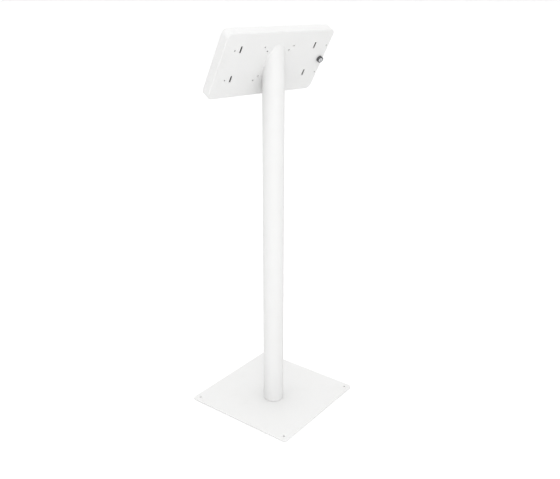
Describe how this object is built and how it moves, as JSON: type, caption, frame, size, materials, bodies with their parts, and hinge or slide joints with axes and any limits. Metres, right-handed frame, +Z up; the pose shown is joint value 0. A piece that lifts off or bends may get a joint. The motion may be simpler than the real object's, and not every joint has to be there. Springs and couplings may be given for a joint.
{
  "type": "customer pole display",
  "caption": "Floor-standing customer display: square steel base plate, round column with a slant-cut top, and a tilted tray head whose hinged front frame locks over a flat display.",
  "frame": {"origin": "on the floor, at the middle of the base plate's underside; the column's axis is 17 mm towards +X and 19 mm towards +Y of it", "axes": "+Z up along the column; the display faces -Y and leans back towards +Y; X runs along the head's long edges, with the lock on the -X side"},
  "size_m": [0.4172, 0.4172, 1.1183],
  "materials": {
    "white_paint": "fine-textured white powder coat, satin",
    "zinc_steel": "bright zinc plate",
    "black_steel": "black oxide",
    "chrome": "polished chrome plate",
    "rubber": "matt black rubber",
    "foam": "fine-celled black foam",
    "display_glass": "polished dark cover glass",
    "display_black": "smooth black film",
    "board_green": "solder mask",
    "display_aluminium": "fine blasted and anodised"
  },
  "bodies": {
    "base": {"base_plate": "white_paint"},
    "column": {"centre_bolt": "zinc_steel", "column_foot_disc": "zinc_steel", "column_tube": "white_paint", "column_top_plate": "zinc_steel", "back_shell": "white_paint", "head_screw_1": "zinc_steel", "head_screw_2": "zinc_steel", "head_screw_3": "zinc_steel", "head_screw_4": "zinc_steel", "cable_grommet": "rubber", "display_glass": "display_glass", "display_panel": "display_black", "display_battery": "display_black", "display_circuit_board": "board_green", "display_case": "display_aluminium", "display_bracket_1": "black_steel", "display_bracket_2": "black_steel", "display_bracket_3": "black_steel", "display_bracket_4": "black_steel", "bracket_pad_1": "foam", "bracket_pad_2": "foam", "bracket_pad_3": "foam", "bracket_pad_4": "foam", "bracket_screw_1": "black_steel", "bracket_screw_2": "black_steel", "bracket_screw_3": "black_steel", "bracket_screw_4": "black_steel", "hinge_case_leaf": "zinc_steel", "hinge_pin": "zinc_steel", "lock_barrel": "chrome", "lock_nut": "zinc_steel"},
    "door": {"front_frame": "white_paint", "window_gasket": "foam", "hinge_frame_leaf": "zinc_steel"},
    "lock": {"lock_plug": "chrome", "lock_cam": "zinc_steel", "cam_screw": "zinc_steel"}
  },
  "joints": [
    {"name": "column_turn", "type": "hinge", "parent": "base", "child": "column", "pos_m": [0.017, 0.019, 0.005], "axis": [0, 0, 1], "continuous": true},
    {"name": "door_hinge", "type": "hinge", "parent": "column", "child": "door", "pos_m": [0.1955, -0.00315, 1.03438], "axis": [0, 0.509, 0.8607], "range_deg": [0, 95]},
    {"name": "lock_turn", "type": "hinge", "parent": "column", "child": "lock", "pos_m": [-0.151, 0.02053, 1.02688], "axis": [0, -0.8607, 0.509], "range_deg": [0, 90]}
  ]
}
